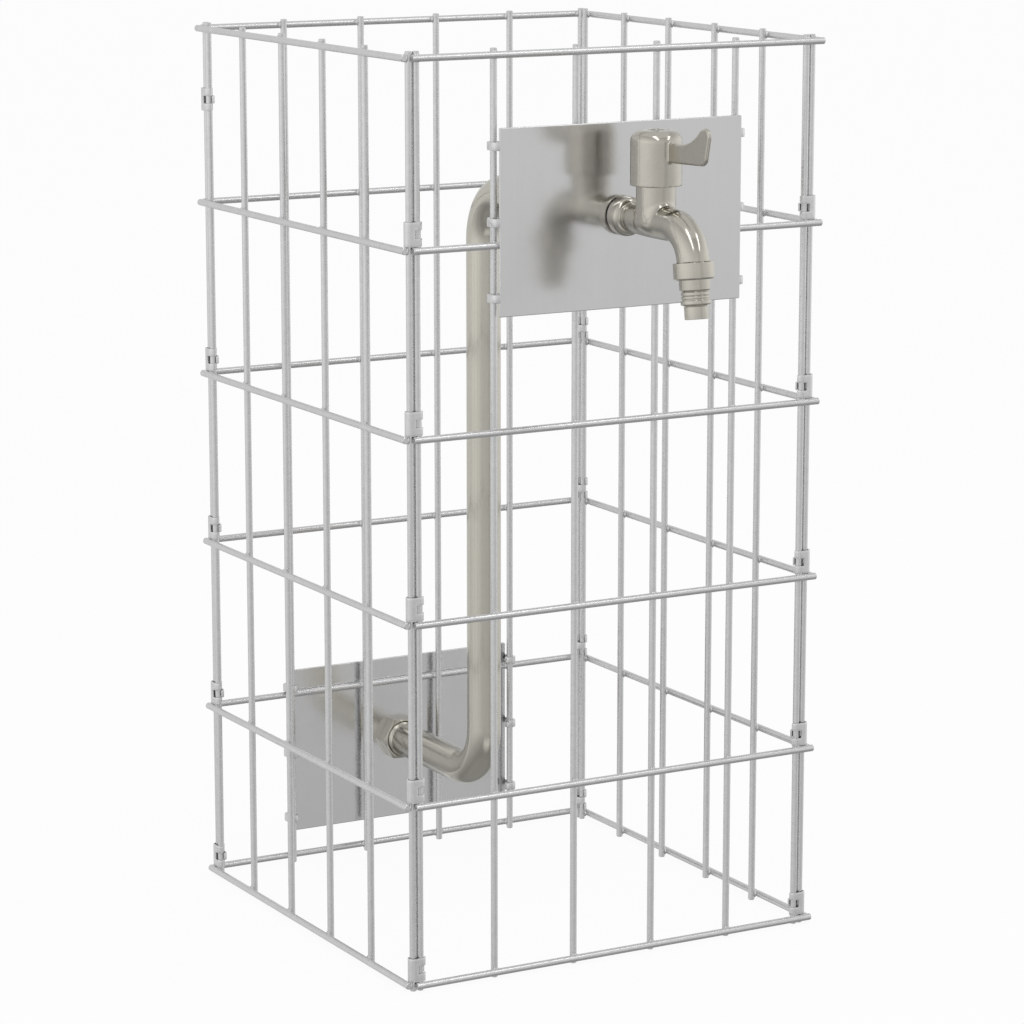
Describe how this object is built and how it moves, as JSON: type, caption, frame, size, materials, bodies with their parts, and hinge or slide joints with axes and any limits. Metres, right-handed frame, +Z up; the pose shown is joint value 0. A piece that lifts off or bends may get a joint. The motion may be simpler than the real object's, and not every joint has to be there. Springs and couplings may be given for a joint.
{
  "type": "garden standpipe",
  "caption": "Square welded-mesh stone basket with a quarter-turn lever tap on its front plate, fed by a bent riser pipe from a threaded inlet low at the rear.",
  "frame": {"origin": "centre of the basket's footprint, at the level of the wire ends that stand on the ground", "axes": "+Z up, -Y to the front where the tap is, +X to the right as seen from the front"},
  "size_m": [0.2608, 0.3716, 0.507],
  "materials": {
    "mesh_wire": "galvanised",
    "clip_steel": "bright zinc",
    "plate_steel": "satin",
    "pipe_steel": "satin nickel plate",
    "nickel_brass": "satin nickel plate",
    "raw_brass": "turned",
    "black_rubber": "matte",
    "fibre": "pressed fibre",
    "ceramic": "ground ceramic"
  },
  "bodies": {
    "stand": {"front_panel": "mesh_wire", "rear_panel": "mesh_wire", "left_panel": "mesh_wire", "right_panel": "mesh_wire", "clips_front_left": "clip_steel", "clips_front_right": "clip_steel", "clips_rear_left": "clip_steel", "clips_rear_right": "clip_steel", "tap_plate": "plate_steel", "inlet_plate": "plate_steel", "riser_pipe": "pipe_steel", "inlet_nut": "nickel_brass", "inlet_washer": "clip_steel", "inlet_lock_nut": "nickel_brass", "tap_socket": "nickel_brass", "socket_seal": "fibre", "tap_gasket": "black_rubber", "tap_body": "nickel_brass", "valve_cartridge": "raw_brass", "seat_seal": "black_rubber", "fixed_disc": "ceramic"},
    "lever": {"lever_handle": "nickel_brass", "handle_screw": "clip_steel", "spindle": "raw_brass", "spindle_ring": "black_rubber", "moving_disc": "ceramic"},
    "tail": {"hose_tail": "nickel_brass", "hose_washer": "black_rubber"},
    "union": {"union_nut": "nickel_brass"}
  },
  "joints": [
    {"name": "lever_turn", "type": "hinge", "parent": "stand", "child": "lever", "pos_m": [0, -0.16602, 0.4156], "axis": [0, 0, 1], "range_deg": [0, 90]},
    {"name": "tail_slide", "type": "slide", "parent": "stand", "child": "tail", "axis": [0, -0.1392, -0.9903], "range_m": [0, 0.006]},
    {"name": "union_turn", "type": "hinge", "parent": "tail", "child": "union", "pos_m": [0, -0.20398, 0.39468], "axis": [0, -0.1392, -0.9903], "range_deg": [0, 2200]}
  ],
  "couplings": [
    {"joint": "union_turn", "follows": "tail_slide", "rad_per_m": 6283.2}
  ]
}
